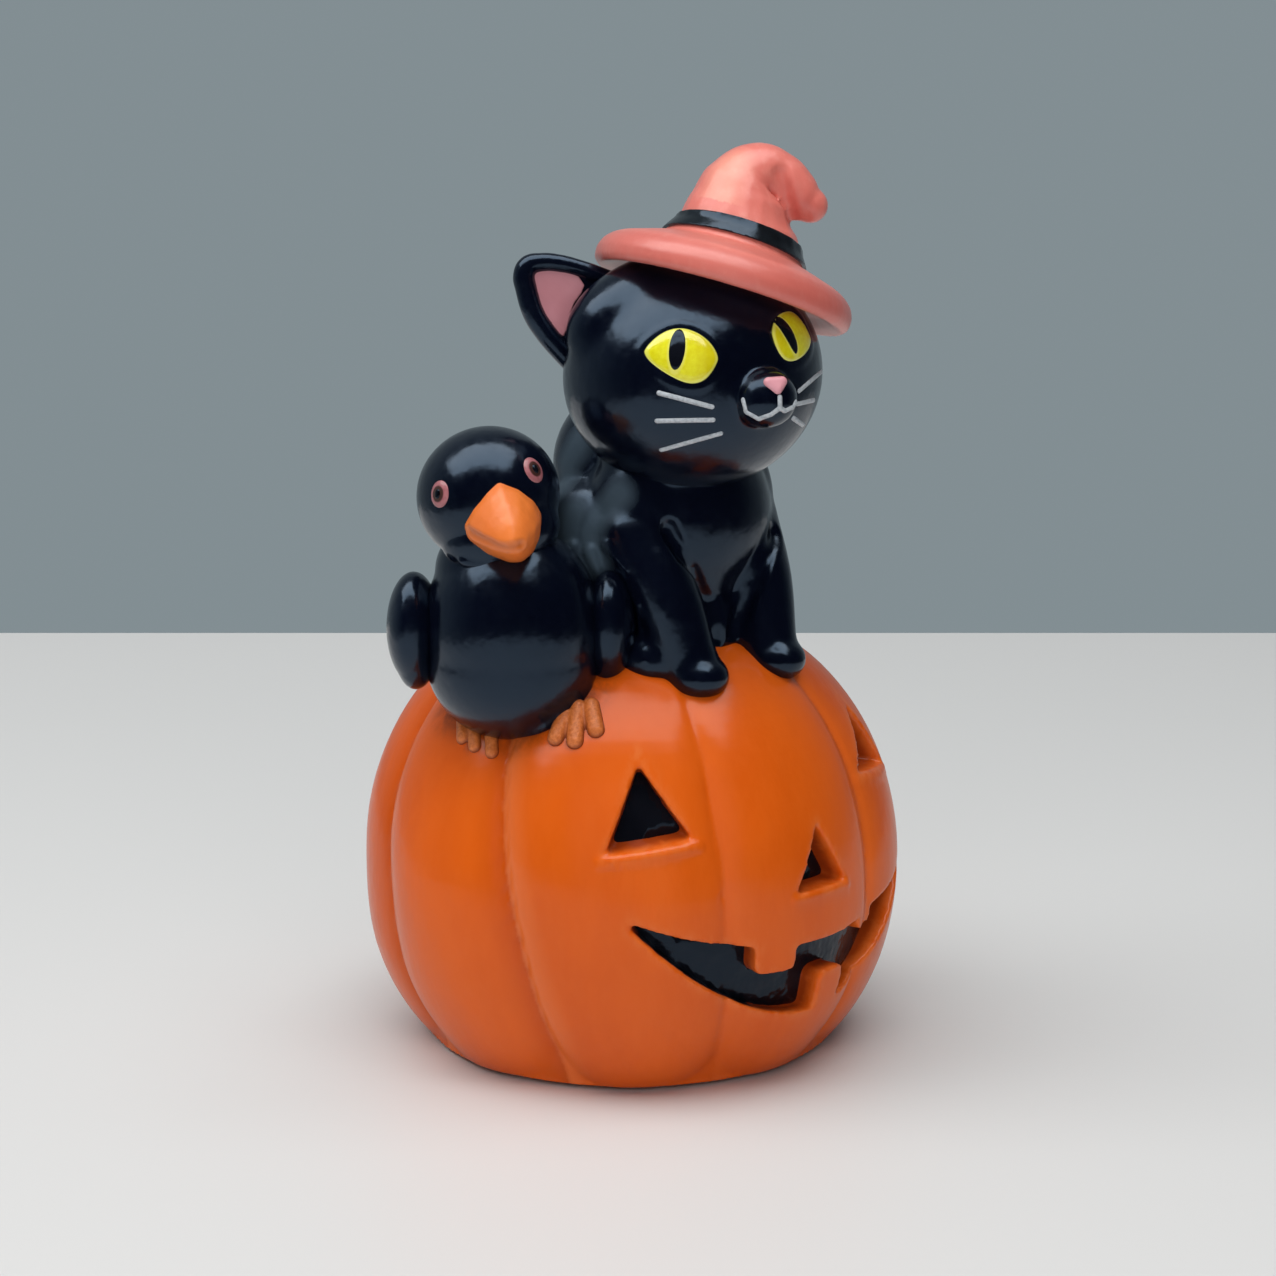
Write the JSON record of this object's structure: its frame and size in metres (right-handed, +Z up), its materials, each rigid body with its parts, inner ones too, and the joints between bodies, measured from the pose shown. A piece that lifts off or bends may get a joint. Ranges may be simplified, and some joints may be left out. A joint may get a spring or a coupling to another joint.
{
  "type": "halloween cat figurine",
  "caption": "Free-standing painted figurine: a black cat in a pointed hat and a small crow seated on a carved pumpkin with a felt-padded base.",
  "frame": {"origin": "middle of the felt pad's underside, on the surface that the figurine stands on", "axes": "+Z up, -Y the way that the pumpkin's face and the cat's chest look, +X the figure's own left"},
  "size_m": [0.0607, 0.0586, 0.0974],
  "materials": {
    "pumpkin_orange": "hand-painted cast resin, semi-gloss varnish",
    "black_enamel": "gloss black enamel in the recesses and on the pupils",
    "felt": "pressed felt disc",
    "cat_black": "hand-painted cast resin, gloss varnish",
    "pin_steel": "plain drawn wire",
    "eye_yellow": "brushed gloss paint",
    "pink": "brushed paint under varnish",
    "line_grey": "fine brush line",
    "hat_coral": "hand-painted cast resin, satin varnish",
    "band_black": "satin black paint",
    "crow_black": "hand-painted cast resin, gloss varnish",
    "beak_orange": "brushed paint under varnish",
    "foot_brown": "brushed paint under varnish"
  },
  "bodies": {
    "root": {"pumpkin_body": "pumpkin_orange", "pumpkin_eye_left_enamel": "black_enamel", "pumpkin_eye_right_enamel": "black_enamel", "pumpkin_nose_enamel": "black_enamel", "pumpkin_grin_enamel": "black_enamel", "cat_pupil_left": "black_enamel", "cat_pupil_right": "black_enamel", "crow_pupil_left": "black_enamel", "crow_pupil_right": "black_enamel", "felt_pad": "felt", "cat_body": "cat_black", "cat_tail": "cat_black", "cat_head": "cat_black", "cat_ear_right": "cat_black", "seat_pin_left": "pin_steel", "seat_pin_right": "pin_steel", "neck_pin": "pin_steel", "hat_pin": "pin_steel", "crow_neck_pin": "pin_steel", "crow_seat_pin": "pin_steel", "cat_eye_left": "eye_yellow", "cat_eye_right": "eye_yellow", "cat_nose": "pink", "cat_ear_lining": "pink", "crow_eye_left": "pink", "crow_eye_right": "pink", "cat_mouth_line": "line_grey", "whisker_left_top": "line_grey", "whisker_left_middle": "line_grey", "whisker_left_low": "line_grey", "whisker_right_top": "line_grey", "whisker_right_middle": "line_grey", "whisker_right_low": "line_grey", "hat": "hat_coral", "hat_band": "band_black", "crow_body": "crow_black", "crow_wing_left": "crow_black", "crow_wing_right": "crow_black", "crow_tail": "crow_black", "crow_head": "crow_black", "crow_beak": "beak_orange", "crow_foot_left": "foot_brown", "crow_foot_right": "foot_brown"}
  },
  "joints": []
}
